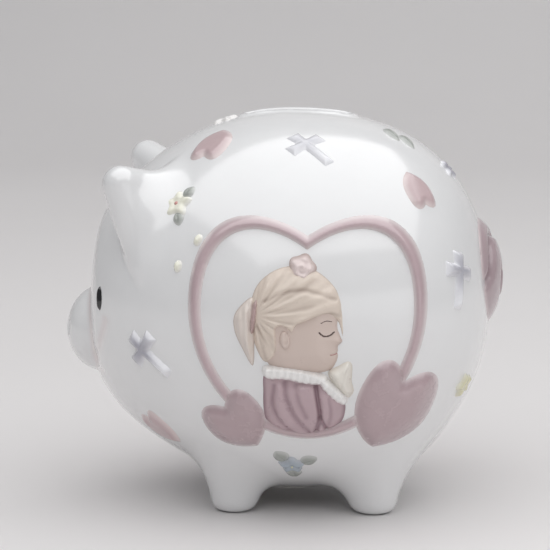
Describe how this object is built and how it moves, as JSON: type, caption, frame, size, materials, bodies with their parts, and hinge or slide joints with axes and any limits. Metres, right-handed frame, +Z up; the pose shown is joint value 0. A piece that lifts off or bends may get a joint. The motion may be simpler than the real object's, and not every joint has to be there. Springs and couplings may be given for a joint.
{
  "type": "piggy bank",
  "caption": "Round white porcelain pig money bank with a raised heart panel, a praying child relief, applied flowers and a soft belly stopper.",
  "frame": {"origin": "on the table, under the middle of the bank's overall box, between its four feet", "axes": "+X towards the tail, so the pig faces -X; +Y towards the pig's own right side; +Z up"},
  "size_m": [0.16, 0.141, 0.1441],
  "materials": {
    "white_porcelain": "clear gloss glaze",
    "black_enamel": "clear gloss glaze",
    "mauve_glaze": "clear gloss glaze",
    "stopper_rubber": "soft matte vinyl",
    "skin_cream": "satin glaze",
    "hair_cream": "satin glaze",
    "rose_glaze": "clear gloss glaze",
    "white_relief": "clear gloss glaze",
    "dress_glaze": "satin glaze",
    "lilac_glaze": "clear gloss glaze",
    "butter_glaze": "clear gloss glaze",
    "leaf_glaze": "clear gloss glaze",
    "pale_blue_glaze": "clear gloss glaze"
  },
  "bodies": {
    "bank": {"body_shell": "white_porcelain", "coin_slot_lip": "white_porcelain", "snout": "white_porcelain", "left_ear": "white_porcelain", "right_ear": "white_porcelain", "left_eye": "black_enamel", "right_eye": "black_enamel", "front_left_leg": "white_porcelain", "front_right_leg": "white_porcelain", "rear_left_leg": "white_porcelain", "rear_right_leg": "white_porcelain", "curled_tail": "mauve_glaze", "left_heart_frame": "mauve_glaze", "left_small_heart": "mauve_glaze", "left_large_heart": "mauve_glaze", "girl_face": "skin_cream", "girl_hair": "hair_cream", "girl_ponytail": "hair_cream", "girl_ponytail_band": "rose_glaze", "girl_hair_rose": "rose_glaze", "girl_ear": "skin_cream", "girl_collar": "white_relief", "girl_dress": "dress_glaze", "girl_cuff": "white_relief", "girl_hands": "skin_cream", "left_brow_heart": "mauve_glaze", "left_rump_heart": "mauve_glaze", "left_chest_heart": "mauve_glaze", "left_spine_cross": "lilac_glaze", "left_cheek_cross": "lilac_glaze", "left_flank_cross": "lilac_glaze", "left_ear_flower": "butter_glaze", "left_ear_flower_leaves": "leaf_glaze", "left_buds": "butter_glaze", "left_belly_flower": "pale_blue_glaze", "left_belly_flower_leaves": "leaf_glaze", "left_hip_flower": "butter_glaze", "right_heart_frame": "mauve_glaze", "right_small_heart": "mauve_glaze", "right_large_heart": "mauve_glaze", "right_brow_heart": "mauve_glaze", "right_rump_heart": "mauve_glaze", "right_chest_heart": "mauve_glaze", "right_spine_cross": "lilac_glaze", "right_cheek_cross": "lilac_glaze", "right_flank_cross": "lilac_glaze", "right_ear_flower": "butter_glaze", "right_ear_flower_leaves": "leaf_glaze", "right_buds": "butter_glaze", "right_belly_flower": "pale_blue_glaze", "right_belly_flower_leaves": "leaf_glaze", "right_hip_flower": "butter_glaze", "back_leaves": "leaf_glaze", "back_blossom": "lilac_glaze", "brow_blossom": "white_relief"},
    "stopper": {"belly_stopper": "stopper_rubber"}
  },
  "joints": [
    {"name": "stopper_pull", "type": "slide", "parent": "bank", "child": "stopper", "axis": [0, 0, -1], "range_m": [0, 0.03]}
  ]
}
